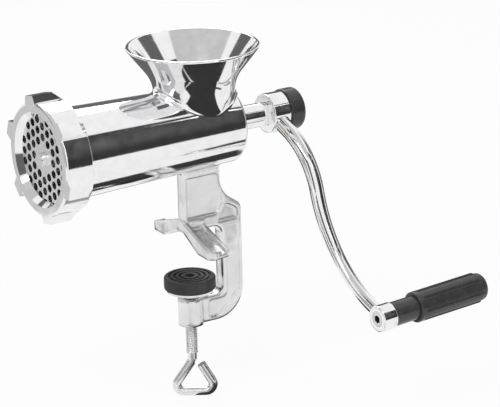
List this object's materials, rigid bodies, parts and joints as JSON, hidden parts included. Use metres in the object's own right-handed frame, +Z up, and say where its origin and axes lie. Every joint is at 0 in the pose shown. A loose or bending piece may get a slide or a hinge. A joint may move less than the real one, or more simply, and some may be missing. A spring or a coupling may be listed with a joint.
{
  "type": "hand crank meat grinder",
  "caption": "Table-clamp meat grinder: polished barrel with flared hopper, perforated cutting plate under a lugged ring nut, auger driven by an S-shaped crank with a black grip.",
  "frame": {"origin": "on the table top, where the axis of the clamp screw meets it", "axes": "+X along the barrel from the cutting plate to the crank, +Z up along the clamp screw, +Y to the side"},
  "size_m": [0.2682, 0.1668, 0.243],
  "materials": {
    "polished_casting": "mirror polished",
    "satin_casting": "tumbled satin",
    "steel": "bright steel",
    "brass": "turned",
    "black_plastic": "satin black",
    "black_rubber": "matt black"
  },
  "bodies": {
    "housing": {"barrel": "polished_casting", "hopper": "polished_casting", "clamp_frame": "satin_casting", "rear_bush": "brass", "plate_key": "steel"},
    "auger": {"auger": "polished_casting", "knife": "steel", "thrust_washer": "steel"},
    "crank": {"crank_hub": "polished_casting", "crank_arm": "polished_casting", "grip_eye": "polished_casting", "eye_pin": "steel", "grip_screw": "steel", "grip_axle": "steel"},
    "knob": {"knob": "black_plastic", "knob_stud": "steel"},
    "grip": {"grip": "black_plastic", "grip_end_cap": "black_plastic"},
    "plate": {"cutting_plate": "steel"},
    "ring_nut": {"ring_nut": "polished_casting"},
    "pad": {"rubber_pad": "black_rubber", "pad_plate": "steel"},
    "clamp_screw": {"clamp_screw": "steel", "clamp_handle": "steel", "pad_clip": "steel"}
  },
  "joints": [
    {"name": "crank_spin", "type": "hinge", "parent": "housing", "child": "auger", "pos_m": [0, 0, 0.0781], "axis": [1, 0, 0], "continuous": true},
    {"name": "crank_slide", "type": "slide", "parent": "auger", "child": "crank", "axis": [1, 0, 0], "range_m": [0, 0.01]},
    {"name": "knob_turn", "type": "hinge", "parent": "crank", "child": "knob", "pos_m": [0.08, 0, 0.0781], "axis": [1, 0, 0], "range_deg": [0, 3600]},
    {"name": "grip_spin", "type": "hinge", "parent": "crank", "child": "grip", "pos_m": [0.07721, -0.11376, -0.03576], "axis": [0.9984, 0.0395, 0.0395], "continuous": true},
    {"name": "plate_slide", "type": "slide", "parent": "housing", "child": "plate", "axis": [-1, 0, 0], "range_m": [0, 0.012]},
    {"name": "ring_turn", "type": "hinge", "parent": "plate", "child": "ring_nut", "pos_m": [-0.1, 0, 0.0781], "axis": [-1, 0, 0], "range_deg": [0, 1440]},
    {"name": "pad_slide", "type": "slide", "parent": "housing", "child": "pad", "axis": [0, 0, 1], "range_m": [0, 0.018]},
    {"name": "screw_turn", "type": "hinge", "parent": "pad", "child": "clamp_screw", "pos_m": [0, 0, -0.05], "axis": [0, 0, 1], "range_deg": [0, 5184]}
  ],
  "couplings": [
    {"joint": "knob_turn", "follows": "crank_slide", "rad_per_m": 6283},
    {"joint": "ring_turn", "follows": "plate_slide", "rad_per_m": 2094},
    {"joint": "screw_turn", "follows": "pad_slide", "rad_per_m": 5026}
  ]
}
